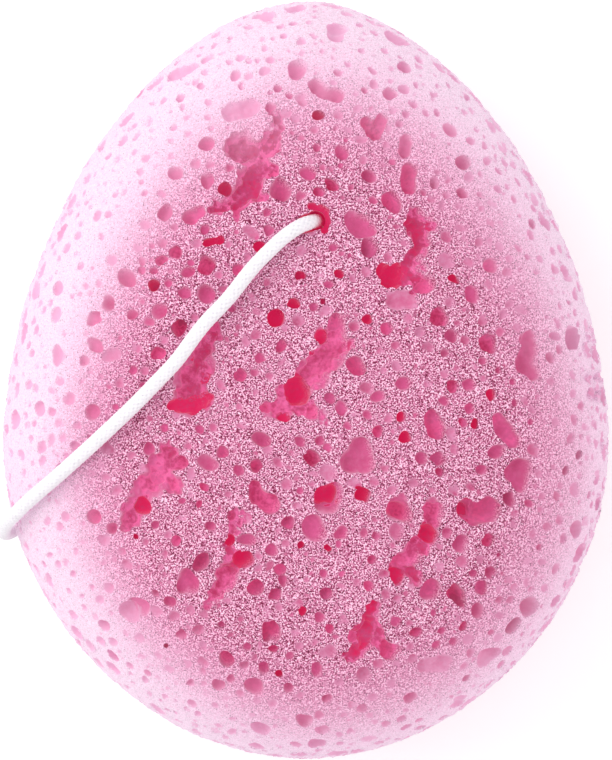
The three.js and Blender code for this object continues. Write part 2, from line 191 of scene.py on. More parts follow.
# The braid's relief at each ring and side: two sets of carriers, each over one and under one
around = np.arange(CORD_SIDES) / CORD_SIDES
left_turn = CARRIERS * (around[None, :] + ring_along[:, None] / BRAID_LEAD)
right_turn = CARRIERS * (around[None, :] - ring_along[:, None] / BRAID_LEAD)
left_over = (np.floor(left_turn) + np.floor(right_turn)) % 2 == 0
across_carrier = np.where(left_over, left_turn % 1, right_turn % 1) * 2 - 1
along_carrier = np.where(left_over, right_turn % 1, left_turn % 1) * 2 - 1
crown = 1 - CROWN_ACROSS * across_carrier**2 - CROWN_ALONG * along_carrier**2
crown = np.sqrt(np.clip(crown, 0, 1))
yarns = np.cos(CARRIER_YARNS * math.pi * across_carrier)
cord_reach = BRAID_RADIUS + CARRIER_CROWN * (crown - 1) + YARN_GROOVE * (yarns - 1)

# The melted tips
for from_tip in (ring_along, ring_along[::-1]):
    left = np.clip(from_tip / TIP_LENGTH, 0, 1)
    cord_reach = cord_reach * np.sqrt(1 - (1 - left) ** 2 * TIP_ROUND)[:, None]

turn = 2 * math.pi * around
ring_points = cord_line[:, None, :] + cord_reach[:, :, None] * (
    np.cos(turn)[None, :, None] * cord_side[:, None, :] + np.sin(turn)[None, :, None] * cord_up[:, None, :]
)


def nearest_ring(place):
    """The cord's ring nearest to a place of the route, in millimetres."""
    return int(np.linalg.norm(cord_line - np.array(place) * MM, axis=1).argmin())


def linear(colour):
    """An sRGB hex colour as a linear one."""
    parts = [int(colour[i : i + 2], 16) / 255 for i in (1, 3, 5)]
    return (*[c / 12.92 if c <= 0.04045 else ((c + 0.055) / 1.055) ** 2.4 for c in parts], 1)


def add_node(tree, kind, settings=(), **links):
    """A node with its settings, which are properties or inputs, and its inputs' links by name."""
    made = tree.nodes.new(kind)
    for name, value in dict(settings).items():
        if hasattr(made, name) and name not in made.inputs:
            setattr(made, name, value)
        else:
            made.inputs[name].default_value = value
    for name, source in links.items():
        tree.links.new(source, made.inputs[int(name[1:]) if name[1:].isdigit() else name.replace("_", " ")])
    return made


def new_material(name, settings):
    """A material with only a Principled shader, set as given, its tree and the shader."""
    material = bpy.data.materials.new(name)
    material.use_nodes = True
    tree = material.node_tree
    shader = tree.nodes["Principled BSDF"]
    for socket, value in settings.items():
        shader.inputs[socket].default_value = linear(value) if isinstance(value, str) else value
    return material, tree, shader


def add_ramp(tree, source, stops):
    """A colour ramp through the stops, which are pairs of a position and a hex colour."""
    ramp = add_node(tree, "ShaderNodeValToRGB", Fac=source)
    elements = ramp.color_ramp.elements
    while len(elements) < len(stops):
        elements.new(1)
    for element, (position, colour) in zip(elements, stops):
        element.position = position
        element.color = linear(colour)
    return ramp.outputs["Color"]


def add_range(tree, source, least, most, low=0.0, high=1.0):
    """A value that goes evenly from low to high while its source goes from least to most."""
    settings = {"From Min": least, "From Max": most, "To Min": low, "To Max": high}
    return add_node(tree, "ShaderNodeMapRange", settings, Value=source).outputs["Result"]


def add_mix(tree, share, first, second):
    """A colour between two, which are outputs of nodes or hex colours."""
    mix = add_node(tree, "ShaderNodeMix", {"data_type": "RGBA"}, i0=share)
    for number, colour in ((6, first), (7, second)):
        if isinstance(colour, str):
            mix.inputs[number].default_value = linear(colour)
        else:
            tree.links.new(colour, mix.inputs[number])
    return mix.outputs[2]


def add_noise(tree, size, detail, place, roughness=0.5):
    """A noise whose blobs have a size, as a value about 0.5."""
    settings = {"Scale": 1 / size, "Detail": detail, "Roughness": roughness}
    return add_node(tree, "ShaderNodeTexNoise", settings, Vector=place).outputs["Fac"]


def read_attribute(tree, name):
    """A value that the mesh carries at its vertices."""
    return add_node(tree, "ShaderNodeAttribute", {"attribute_name": name}).outputs["Fac"]


def pick(piece):
    """Selects one object alone and makes it the active one."""
    bpy.ops.object.select_all(action="DESELECT")
    piece.select_set(True)
    bpy.context.view_layer.objects.active = piece


# Polyester yarn, braided and bleached: a soft sheen along the filaments. The grey valleys between the
# carriers are painted shade in the braid's creases.
FILAMENTS = 0.48 * MM  # a bundle of them
FILAMENT_RELIEF = 0.05 * MM
VALLEY_CROWNS = (0.25, 0.8)  # from a valley to where its grey ends
VALLEY_PAINTED_SHADE = 0.75
cord_white, tree, shader = new_material("white_polyester_braid", {
    "Roughness": 0.62, "Specular IOR Level": 0.35, "Sheen Weight": 0.2, "Sheen Roughness": 0.4,
})
place = add_node(tree, "ShaderNodeTexCoord").outputs["Object"]
fibres = add_noise(tree, FILAMENTS, 3.0, place)
yarn = add_ramp(tree, fibres, [(0.3, "#F1ECF2"), (0.65, "#FBF8FC")])
painted_valley_shade = add_range(tree, read_attribute(tree, "crown"), *VALLEY_CROWNS, VALLEY_PAINTED_SHADE, 0)
# The valleys' grey is painted shade in the creases between the carriers.
braid = add_mix(tree, painted_valley_shade, yarn, "#E8E2EC")
relief = add_node(tree, "ShaderNodeBump", {"Strength": 0.35, "Distance": FILAMENT_RELIEF}, Height=fibres)
tree.links.new(braid, shader.inputs["Base Color"])
tree.links.new(relief.outputs["Normal"], shader.inputs["Normal"])


def cord_piece(name, first, last):
    """The cord between two of its rings, closed at both ends."""
    rings = last - first + 1
    mesh = bpy.data.meshes.new(name)
    side = np.arange(CORD_SIDES)
    after = (side + 1) % CORD_SIDES
    start = (np.arange(rings - 1) * CORD_SIDES)[:, None]
    next_start = start + CORD_SIDES
    faces = np.stack([start + side, start + after, next_start + after, next_start + side], axis=2)
    last_ring = (rings - 1) * CORD_SIDES
    ends = [tuple(side[::-1]), tuple(last_ring + side)]
    own_points = ring_points[first : last + 1].reshape(-1, 3)
    mesh.from_pydata(own_points.tolist(), [], faces.reshape(-1, 4).tolist() + ends)
    raised = mesh.attributes.new("crown", "FLOAT", "POINT")
    raised.data.foreach_set("value", crown[first : last + 1].astype(np.float32).ravel())
    piece = bpy.data.objects.new(name, mesh)
    bpy.context.collection.objects.link(piece)
    pick(piece)
    bpy.ops.object.mode_set(mode="EDIT")
    bpy.ops.mesh.select_all(action="SELECT")
    bpy.ops.mesh.normals_make_consistent(inside=False)
    bpy.ops.object.mode_set(mode="OBJECT")
    bpy.ops.object.shade_smooth_by_angle(angle=CORD_SMOOTH)
    mesh.materials.append(cord_white)
    return piece


def metres(place):
    return tuple(value * MM for value in place)


rim_ring = nearest_ring(RIM_RUN[0])
strand_ring = nearest_ring(FRONT_MIDDLE[1])
bore_ring = nearest_ring(BORE_STRAIGHT[1])
last_ring = ring_count - 1

cord_knot_under = cord_piece("cord_knot_under_half", 0, rim_ring)
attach(cord_knot_under, "sponge")
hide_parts("cord_back_end")
metres(RIM_RUN[0])

cord_front_far = cord_piece("cord_front_far_half", rim_ring, strand_ring)
metres((*FRONT_MIDDLE[0][:2], 0))
metres((*FRONT_FAR[0][:2], 0))
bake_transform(cord_front_far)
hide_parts("cord_rim_run", "cord_front_far", "cord_front_middle")
metres(FRONT_MIDDLE[1])

cord_front_near = cord_piece("cord_front_near_half", strand_ring, bore_ring)
metres((*BORE_FRONT[1][:2], 0))
metres((*FRONT_NEAR[0][:2], 0))
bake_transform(cord_front_near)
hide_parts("cord_front_near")
metres((*BORE_PLACE, BORE_MOUTH))

cord_knot_bore = cord_piece("cord_knot_bore_half", bore_ring, last_ring)
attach(cord_knot_bore, "sponge")
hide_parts("cord_bore_end")
metres(BORE_BACK[0])


# Foam block
# One block of soft polyurethane foam, cut to an egg with rolled edges. Its skin is a mesh of cut cells
# about 0.36 mm wide, and large bubbles open as pores all over it. On the face some ran into worm-shaped
# cavities. The cord's bore goes through it, and cord and knot lie in a channel and a pocket underneath.
TIP_REACH = 82 * MM  # widest line to narrow tip
TIP_POWER = 1.8
BLUNT_POWER = 1.91
BLOCK_LENGTH = 140 * MM
SIDE_POWER = 4  # how squarely the sides roll over into the two faces
FLAT_SHARE = 0.5  # of the outline that is flat underneath
half_width = (foam_high.x - foam_low.x) / 2
blunt_reach = BLOCK_LENGTH - TIP_REACH
widest_y = BLOCK_LENGTH / 2 - TIP_REACH
under_height = middle_height / math.sqrt(1 - FLAT_SHARE**SIDE_POWER)


def outline_share(x, y):
    """How far out a place lies, 1 at the outline, with the derivatives along x and y."""
    along = y - widest_y
    reach = np.where(along >= 0, TIP_REACH, blunt_reach)
    power = np.where(along >= 0, TIP_POWER, BLUNT_POWER)
    a = np.abs(x) / half_width
    b = np.abs(along) / reach
    share = np.maximum(a**power + b**power, 1e-12) ** (1 / power)
    by_x = share ** (1 - power) * a ** (power - 1) * np.sign(x) / half_width
    by_y = share ** (1 - power) * b ** (power - 1) * np.sign(along) / reach
    return share, by_x, by_y


def skin_facts(points):
    """The outward direction and the depth below the skin at places in or on the block."""
    x, y, z = points.T
    share, by_x, by_y = outline_share(x, y)
    rise = z - middle_height
    height = np.where(rise >= 0, middle_height, under_height)
    level = share**SIDE_POWER + (rise / height) ** 2
    slope = SIDE_POWER * share ** (SIDE_POWER - 1)
    outward = np.stack([slope * by_x, slope * by_y, 2 * rise / height**2], axis=1)
    steepness = np.maximum(np.linalg.norm(outward, axis=1), 1e-9)
    depth = (1 - level) / steepness
    outward /= steepness[:, None]
    flat = z < depth
    outward[flat] = (0, 0, -1)
    return outward, np.where(flat, z, depth)


FACE_ROUNDS = 6  # of nearing the face along the line of sight


def face_place(pixel_x, pixel_y):
    """The place of the front face that shows at a pixel of the picture."""
    x = (pixel_x - PICTURE_SIZE[0] / 2) * PICTURE_SCALE
    y = (PICTURE_SIZE[1] / 2 - pixel_y) * PICTURE_SCALE
    z = 2 * middle_height
    for _ in range(FACE_ROUNDS):
        near = (view_height - z) / VIEW_DISTANCE
        share = outline_share(np.array([x * near]), np.array([y * near]))[0][0]
        z = middle_height * (1 + math.sqrt(max(0, 1 - share**SIDE_POWER)))
    return x * near, y * near, z


# Worm-shaped cavities of the face, where bubbles ran together. Each line is one run: pixel across and down
# in the picture, and radius in pixels.
CAVITY_RUNS = [
    [(276, 112, 4), (277, 122, 5), (270, 143, 10), (258, 166, 11), (249, 184, 14), (237, 197, 13),
     (215, 209, 6)],
    [(239, 145, 16), (246, 150, 15), (264, 148, 9)],
    [(262, 168, 9), (275, 171, 6)],
    [(249, 192, 9), (263, 196, 6)],
    [(237, 200, 10), (237, 214, 5)],
    [(415, 212, 9), (418, 225, 14), (425, 242, 10), (416, 255, 9), (410, 270, 12), (392, 277, 12)],
    [(424, 224, 9), (433, 222, 6)],
    [(411, 272, 10), (425, 285, 11)],
    [(337, 324, 9), (337, 346, 14), (325, 361, 17), (311, 373, 14), (299, 388, 14), (294, 403, 10),
     (278, 412, 10), (266, 408, 7)],
    [(323, 336, 8), (330, 344, 9)],
    [(340, 348, 9), (352, 344, 6)],
    [(322, 364, 12), (323, 377, 10), (315, 384, 7)],
    [(299, 390, 12), (282, 391, 7)],
    [(295, 406, 9), (312, 411, 9), (322, 417, 5)],
    [(245, 519, 4), (232, 518, 6), (230, 535, 6), (231, 547, 6), (232, 556, 5), (230, 571, 12),
     (223, 583, 10), (215, 594, 7), (206, 606, 5)],
    [(233, 566, 9), (241, 562, 8)],
    [(434, 512, 13), (432, 532, 9), (418, 543, 10), (411, 557, 11), (399, 570, 12), (398, 579, 8)],
    [(424, 545, 9), (428, 552, 6)],
    [(405, 568, 10), (416, 578, 9)],
    [(375, 608, 8), (371, 622, 9), (369, 635, 11), (361, 652, 8), (350, 661, 6)],
    [(368, 634, 9), (355, 637, 8)],
    [(376, 628, 8), (379, 641, 7), (389, 652, 10)],
]
# Two more cavities at the left are shallower and paler
SOFT_RUNS = [
    [(215, 330, 7), (205, 342, 10), (203, 353, 13), (199, 366, 16), (192, 381, 19), (190, 394, 19),
     (190, 403, 14)],
    [(192, 403, 10), (207, 402, 8)],
    [(167, 445, 8), (169, 455, 11), (160, 469, 13), (153, 480, 13), (144, 490, 11), (139, 504, 11),
     (131, 517, 12), (127, 525, 7)],
    [(160, 478, 10), (174, 485, 11)],
    [(131, 516, 9), (124, 509, 5)],
]
# Pores that ran together in twos and threes, as runs of the same kind
DEEP_RUNS = [
    [(312, 206, 4), (319, 208, 5), (325, 213, 6), (327, 221, 6), (325, 229, 5)],  # beside the bore
    [(384, 271, 8), (391, 280, 9), (397, 271, 9)],
    [(208, 242, 5), (219, 240, 5)],
    [(171, 406, 4), (182, 404, 7), (195, 403, 8), (207, 397, 5)],
    [(298, 386, 10), (300, 392, 11)],
]
RICH_RUNS = [
    [(367, 122, 7), (375, 131, 9), (382, 119, 6)],
    [(410, 170, 9), (409, 187, 8)],
    [(168, 465, 6), (181, 463, 8)],
    [(255, 486, 7), (258, 497, 9), (270, 504, 10)],
    [(432, 416, 8), (437, 430, 10)],
    [(467, 508, 10), (475, 515, 11), (490, 509, 13)],
]
PLAIN_RUNS = [
    [(531, 337, 8), (531, 349, 9), (526, 363, 12), (534, 374, 8)],
    [(316, 85, 9), (322, 91, 8), (338, 95, 8)],
    [(353, 219, 10), (361, 225, 13), (370, 228, 9)],
    [(407, 140, 8), (405, 151, 7)],
    [(353, 462, 13), (361, 446, 11), (365, 462, 12)],
    [(499, 419, 7), (506, 430, 11), (514, 440, 9)],
    [(514, 473, 10), (523, 468, 12), (520, 485, 9)],
    [(190, 217, 9), (199, 211, 7)],
]
PALE_RUNS = [
    [(231, 112, 11), (240, 110, 11), (252, 106, 10)],
    [(395, 300, 11), (411, 299, 10)],
    [(426, 666, 10), (445, 664, 11)],
    [(176, 73, 12), (190, 68, 9)],
]
# Single pores of the face, given in the same way. These show crimson, so they are deep.
DEEP_PORES = [
    (318, 115, 6), (225, 187, 7),
    (261, 246, 6), (154, 285, 6), (301, 275, 5), (339, 273, 5), (454, 279, 6),
    (294, 304, 6), (276, 316, 9), (323, 301, 3), (368, 319, 5),
    (323, 336, 6), (315, 354, 4), (285, 417, 5), (195, 358, 4), (184, 367, 3), (204, 377, 6),
    (142, 507, 8), (472, 511, 10), (230, 541, 5), (244, 559, 8),
    (431, 534, 8), (398, 578, 7), (401, 416, 5), (406, 438, 6), (330, 496, 9), (363, 495, 8), (491, 395, 5),
    (474, 423, 7), (135, 537, 3), (301, 545, 4), (328, 548, 4), (303, 612, 4), (166, 647, 3), (279, 674, 4),
]
# These show a rich pink
RICH_PORES = [
    (332, 184, 8), (319, 191, 6), (393, 202, 10), (206, 265, 10),
    (239, 269, 6), (180, 327, 10), (215, 325, 6), (387, 328, 6), (440, 317, 9), (368, 247, 10), (281, 346, 6),
    (241, 375, 7), (357, 366, 10), (158, 353, 7), (489, 344, 10), (453, 386, 7),
    (378, 431, 6), (312, 458, 10), (257, 466, 7),
    (94, 517, 7), (400, 511, 12), (201, 561, 10), (256, 587, 9), (275, 595, 7), (281, 570, 6), (326, 594, 7),
    (270, 631, 11), (330, 629, 5), (227, 658, 9), (273, 649, 5), (457, 595, 11), (488, 541, 7), (464, 627, 5),
    (417, 633, 6), (372, 560, 5), (369, 586, 5), (176, 541, 5), (204, 487, 5), (199, 504, 4), (161, 260, 6),
    (176, 251, 7), (440, 472, 5), (268, 144, 9), (274, 172, 5), (238, 204, 8), (425, 285, 9), (417, 226, 8),
    (337, 324, 8), (312, 411, 7), (266, 408, 6), (315, 384, 5), (155, 479, 9), (389, 652, 9),
    (355, 637, 7), (434, 512, 9), (229, 572, 8), (411, 570, 5),
]
# These show a plain pink
PLAIN_PORES = [
    (235, 75, 7), (296, 70, 12), (278, 88, 5), (289, 95, 4), (390, 93, 8), (404, 66, 8),
    (365, 90, 4), (271, 107, 6), (207, 143, 9), (317, 147, 5), (342, 152, 7),
    (346, 139, 3), (393, 161, 4), (341, 165, 3), (308, 173, 8), (371, 177, 9), (177, 173, 8), (207, 180, 9),
    (281, 190, 11), (374, 200, 5), (165, 212, 8), (267, 212, 5), (269, 229, 6),
    (205, 229, 6), (237, 218, 4), (333, 247, 5), (350, 255, 3), (188, 272, 7),
    (191, 262, 4), (168, 283, 5), (185, 293, 7), (206, 293, 10), (329, 284, 5), (314, 307, 5), (232, 308, 5),
    (159, 311, 8), (127, 278, 10), (142, 270, 5), (153, 270, 5), (107, 303, 9), (132, 314, 6), (93, 318, 8),
    (95, 345, 8), (133, 370, 5), (92, 412, 9), (149, 450, 7), (164, 428, 5), (200, 429, 5), (115, 407, 4),
    (142, 385, 4), (260, 358, 6), (262, 439, 9), (239, 471, 6), (330, 398, 7), (342, 407, 7), (380, 397, 7),
    (404, 383, 8), (444, 400, 6), (452, 335, 8), (348, 426, 5),
    (300, 441, 6), (320, 440, 6), (328, 447, 5), (300, 491, 4), (422, 458, 7), (438, 458, 8), (330, 498, 15),
    (403, 499, 6), (208, 463, 9), (222, 452, 7), (182, 501, 4), (112, 528, 7), (484, 361, 5), (499, 370, 4),
    (470, 385, 7), (470, 408, 6), (515, 403, 4), (513, 382, 4), (464, 423, 6),
    (498, 453, 9), (483, 470, 7), (510, 500, 9), (530, 504, 5), (461, 543, 10),
    (448, 533, 6), (566, 471, 6), (579, 455, 5), (531, 422, 4), (463, 193, 7), (463, 162, 9), (533, 223, 6),
    (451, 129, 9), (492, 266, 8), (473, 294, 9), (247, 540, 8), (272, 550, 7), (289, 523, 8), (314, 529, 12),
    (342, 533, 7), (339, 544, 4), (188, 583, 13), (139, 607, 10), (170, 602, 7), (283, 581, 6), (324, 574, 5),
    (342, 574, 4), (491, 573, 7), (474, 574, 5), (482, 588, 8), (431, 591, 11), (479, 611, 9), (514, 626, 10),
    (434, 613, 4), (437, 645, 5), (396, 622, 6), (454, 642, 5), (443, 631, 5), (411, 698, 8),
    (317, 670, 8), (327, 699, 6), (247, 647, 5), (264, 668, 7), (290, 656, 5), (219, 685, 8), (231, 679, 5),
    (256, 688, 10), (289, 689, 6), (305, 721, 9), (112, 656, 7), (181, 635, 6), (221, 625, 4), (155, 525, 5),
    (211, 526, 6), (320, 618, 6), (492, 633, 4), (467, 679, 5), (540, 547, 4), (499, 555, 3), (147, 674, 5),
]
# These are dishes, too shallow to show more than a paler pink
PALE_PORES = [
    (302, 98, 7), (375, 84, 6), (405, 88, 7), (286, 112, 6),
    (337, 114, 6), (315, 129, 5), (336, 127, 4), (362, 139, 6), (399, 123, 5), (406, 115, 5), (388, 146, 5),
    (211, 128, 4), (364, 159, 5), (196, 163, 6), (210, 163, 5), (361, 198, 5), (435, 183, 7), (251, 232, 8),
    (338, 221, 4), (229, 244, 5), (196, 243, 6), (170, 271, 4), (267, 283, 5), (367, 270, 6), (389, 256, 6),
    (447, 259, 9), (447, 237, 7), (327, 311, 7), (257, 311, 5), (303, 250, 6), (58, 288, 7), (58, 316, 11),
    (111, 358, 10), (57, 355, 10), (85, 361, 6), (39, 408, 7), (69, 398, 7), (59, 423, 7), (41, 447, 7),
    (107, 449, 9), (106, 477, 5), (121, 469, 4), (149, 429, 4), (149, 418, 4), (145, 370, 5), (141, 469, 6),
    (191, 476, 7), (159, 494, 5), (178, 415, 6), (145, 226, 7), (299, 319, 7), (284, 327, 5), (320, 333, 7),
    (246, 342, 6), (256, 335, 6), (282, 361, 5), (269, 377, 5), (239, 408, 5), (283, 393, 7), (321, 416, 8),
    (367, 388, 8), (397, 365, 6), (384, 369, 4), (429, 385, 5), (429, 346, 6), (408, 318, 6), (408, 328, 4),
    (355, 326, 6), (453, 434, 7), (329, 471, 9), (314, 473, 5), (297, 478, 4), (291, 452, 4), (269, 449, 6),
    (355, 483, 7), (375, 480, 6), (415, 482, 6), (385, 468, 5), (560, 350, 5),
    (535, 452, 8), (576, 488, 8), (558, 496, 5), (577, 529, 11), (548, 527, 5), (529, 338, 9), (556, 568, 7),
    (574, 571, 6), (509, 650, 8), (511, 600, 5), (532, 589, 4), (463, 562, 7), (481, 560, 5), (440, 568, 6),
    (396, 532, 8), (414, 578, 10), (384, 575, 6), (248, 518, 6), (104, 540, 7), (169, 536, 6), (145, 542, 4),
    (122, 552, 5), (107, 554, 4), (114, 560, 4), (104, 563, 4), (164, 555, 5), (165, 574, 4), (137, 580, 4),
    (107, 588, 6), (92, 588, 4), (130, 612, 11), (156, 612, 6), (174, 616, 6), (199, 630, 6), (204, 614, 5),
    (280, 607, 5), (259, 647, 5), (203, 662, 6), (244, 667, 6), (329, 652, 8), (240, 694, 5), (191, 683, 5),
    (322, 730, 8), (231, 732, 6), (73, 616, 7), (105, 627, 8), (258, 555, 5), (386, 594, 6), (398, 599, 5),
    (471, 653, 6), (363, 676, 8), (379, 666, 6), (390, 695, 5), (352, 705, 7), (362, 709, 6),
    (386, 725, 6), (406, 728, 6), (352, 732, 6), (340, 744, 5), (379, 744, 5),
]
# Each kind's sink, which is the depth of the bubble's middle over its mouth radius, and its painted shade,
# from pale at 0 to crimson at 1, which stands in for the shade and bounced light deep in a pore
DEEP_KIND = (0.8, 1.0)
RICH_KIND = (0.3, 0.66)
PLAIN_KIND = (-0.1, 0.48)
PALE_KIND = (-0.55, 0.15)
CAVITY_KIND = (-0.1, 0.81)
SOFT_KIND = (-0.2, 0.74)
PAINTED_SHADE_SPREAD = 0.1
PORE_SEED = 17

pore_random = np.random.default_rng(PORE_SEED)
pore_places = []
pore_mouths = []
pore_sinks = []
pore_painted_shades = []


def add_pore(place, mouth, sink, painted_shade):
    pore_places.append(tuple(place))
    pore_mouths.append(mouth)
    pore_sinks.append(sink)
    pore_painted_shades.append(painted_shade + PAINTED_SHADE_SPREAD * pore_random.uniform(-1, 1))


FACE_SCALE = PICTURE_SCALE * (VIEW_DISTANCE - middle_height) / VIEW_DISTANCE
for pores, kind in (
    (DEEP_PORES, DEEP_KIND), (RICH_PORES, RICH_KIND), (PLAIN_PORES, PLAIN_KIND), (PALE_PORES, PALE_KIND),
):
    for pixel_x, pixel_y, pixel_radius in pores:
        add_pore(face_place(pixel_x, pixel_y), pixel_radius * FACE_SCALE, *kind)

# Large pores of the sides and the underside, spread by the golden angle
GOLDEN_ANGLE = math.pi * (3 - math.sqrt(5))
SIDE_PORES = 22
SIDE_PORE_RISE = math.radians(38)
SIDE_PORE_WAVE = 1.9
UNDER_PORES = 16
UNDER_PORE_SHARE = 0.86
LARGE_PORE = 1.9 * MM
LARGE_SPREAD = 0.5 * MM
LARGE_KIND = (0.1, 0.35)
RIM_KIND = (-0.45, 0.15)  # above the widest line, where the edge rolls over
flat_rise = math.acos(FLAT_SHARE ** (SIDE_POWER / 2))


def skin_place(turn, rise):
    """A place on the skin, by the turn round the outline and the rise from the edge to a face."""
    reach, power = (TIP_REACH, TIP_POWER) if math.cos(turn) >= 0 else (blunt_reach, BLUNT_POWER)
    share = math.cos(rise) ** (2 / SIDE_POWER)
    x = share * half_width * math.copysign(abs(math.sin(turn)) ** (2 / power), math.sin(turn))
    y = share * reach * math.copysign(abs(math.cos(turn)) ** (2 / power), math.cos(turn))
    height = middle_height if rise >= 0 else under_height
    return x, widest_y + y, middle_height + height * math.sin(rise)


for i in range(SIDE_PORES):
    place = skin_place(GOLDEN_ANGLE * i, SIDE_PORE_RISE * math.sin(SIDE_PORE_WAVE * i))
    kind = RIM_KIND if place[2] > middle_height else LARGE_KIND
    add_pore(place, LARGE_PORE + LARGE_SPREAD * math.sin(i * i), *kind)
for i in range(UNDER_PORES):
    share = UNDER_PORE_SHARE * math.sqrt((i + 0.5) / UNDER_PORES)
    x, y, z = skin_place(GOLDEN_ANGLE * i, -min(flat_rise, math.acos(share ** (SIDE_POWER / 2))))
    inward = min(1, share / FLAT_SHARE)
    place = (inward * x, widest_y + inward * (y - widest_y), z)
    add_pore(place, LARGE_PORE + LARGE_SPREAD * math.sin(i * i), *LARGE_KIND)

# The blank: a fine ball, pressed to the egg and flattened underneath
BLANK_SUBDIVISIONS = 8
bpy.ops.object.select_all(action="DESELECT")
bpy.ops.mesh.primitive_ico_sphere_add(subdivisions=BLANK_SUBDIVISIONS, radius=1)
foam = bpy.context.object
foam.name = "foam_block"
foam.data.name = "foam_block"


def vertex_places(mesh):
    flat = np.empty(3 * len(mesh.vertices), np.float32)
    mesh.vertices.foreach_get("co", flat)
    return flat.reshape(-1, 3).astype(float)


ball = vertex_places(foam.data)
x = ball[:, 0] * half_width
y = ball[:, 1] * np.where(ball[:, 1] >= 0, TIP_REACH, blunt_reach)
share = outline_share(x, widest_y + y)[0]
grow = np.sqrt(2 / (ball[:, 2] ** 2 + np.sqrt(ball[:, 2] ** 4 + 4 * share**SIDE_POWER)))
rise = ball[:, 2] * np.where(ball[:, 2] >= 0, middle_height, under_height)
blank = np.stack([grow * x, widest_y + grow * y, np.maximum(0, middle_height + grow * rise)], axis=1)
foam.data.vertices.foreach_set("co", blank.astype(np.float32).ravel())
foam.data.update()

# Smaller pores in between, at places drawn at random
SCATTER_TRIES = 8000
FACE_SMALL = (0.45 * MM, 1.1 * MM)
SIDE_SMALL = (0.6 * MM, 1.8 * MM)
PORE_WALL = 1.12  # least distance of two middles over the sum of the mouth radii
LARGE_BIAS = 1.6  # the higher, the fewer large pores
SMALL_SINKS = (-0.85, -0.35)
# A small pore's painted shade follows its depth.
SMALL_PAINTED_SHADE = 0.5  # of a half ball, and less for a dish
FACE_UPWARD = 0.5  # the skin counts as the face where it faces up more than this
RIM_SHARE = 0.7  # of the outline, beyond which pores are shallower still
RIM_LIFT = 0.3
all_runs = CAVITY_RUNS + SOFT_RUNS + DEEP_RUNS + RICH_RUNS + PLAIN_RUNS + PALE_RUNS
cavity_places = [face_place(x, y) for run in all_runs for x, y, _ in run]
cavity_mouths = [radius * FACE_SCALE for run in all_runs for _, _, radius in run]
triangles = np.empty(3 * len(foam.data.polygons), np.int32)
foam.data.polygons.foreach_get("vertices", triangles)
triangles = triangles.reshape(-1, 3)
corners = blank[triangles]
area = np.linalg.norm(np.cross(corners[:, 1] - corners[:, 0], corners[:, 2] - corners[:, 0]), axis=1)
tries = corners[pore_random.choice(len(area), SCATTER_TRIES, p=area / area.sum())].mean(axis=1)
size_draw = np.sort(pore_random.random(SCATTER_TRIES) ** LARGE_BIAS)[::-1]
sink_draw = pore_random.uniform(*SMALL_SINKS, SCATTER_TRIES)
for place, size, sink in zip(tries, size_draw, sink_draw):
    on_face = skin_facts(place[None])[0][0, 2] > FACE_UPWARD
    least, most = FACE_SMALL if on_face else SIDE_SMALL
    if outline_share(place[:1], place[1:2])[0][0] > RIM_SHARE:
        sink -= RIM_LIFT
    mouth = least + (most - least) * size
    apart = np.linalg.norm(np.array(pore_places + cavity_places) - place, axis=1)
    if (apart > PORE_WALL * (np.array(pore_mouths + cavity_mouths) + mouth)).all():
        add_pore(place, mouth, sink, SMALL_PAINTED_SHADE * (1 + sink))

pore_places = np.array(pore_places)
pore_mouths = np.array(pore_mouths)
pore_sinks = np.array(pore_sinks)
pore_outward, _ = skin_facts(pore_places)
pore_radii = pore_mouths * np.sqrt(1 + pore_sinks**2)
pore_middles = pore_places - pore_outward * (pore_sinks * pore_mouths)[:, None]

# The bubbles of the face lean inwards: below the skin each is drawn towards the block's middle
LEAN_IN = 0.6  # sideways per depth, at the outline
LEAN_LEFT = 0.3


def lean(places):
    """How far a bubble at a place is drawn sideways per depth."""
    upward = skin_facts(places)[0][:, 2]
    x = -LEAN_IN * places[:, 0] / half_width - LEAN_LEFT
    y = -LEAN_IN * (places[:, 1] - widest_y) / TIP_REACH
    return np.stack([x, y, np.zeros(len(x))], axis=1) * np.clip(2 * upward, 0, 1)[:, None]


pore_lean = lean(pore_places)

# Each bubble is a ball, drawn out a little one way and lumpy. Those that touch are cut one after the other.
BUBBLE_STRETCH = 0.2
STRETCH_DRAW = (-1, 1.4)
BUBBLE_WAVES = 4
WAVE_SPREAD = 2.0
BUBBLE_LUMPS = 0.08
LARGE_BUBBLE_LUMPS = 0.05 / MM  # on top, for each metre of radius
BALL_LEVELS = ((2.0 * MM, 4), (0.9 * MM, 3), (0, 2))  # subdivisions of a ball above a radius
TOUCH_REACH = 1.5  # two bubbles may touch within this share of the sum of their radii
balls = {}
for _, level in BALL_LEVELS:
    bpy.ops.object.select_all(action="DESELECT")
    bpy.ops.mesh.primitive_ico_sphere_add(subdivisions=level, radius=1)
    sample = bpy.context.object
    balls[level] = vertex_places(sample.data), [tuple(p.vertices) for p in sample.data.polygons]
    bpy.ops.object.delete()

cut_rounds = []
for i in range(len(pore_radii)):
    reach = TOUCH_REACH * (pore_radii + pore_radii[i])
    touching = np.linalg.norm(pore_middles - pore_middles[i], axis=1) < reach
    for members in cut_rounds:
        if not touching[members].any():
            members.append(i)
            break
    else:
        cut_rounds.append([i])


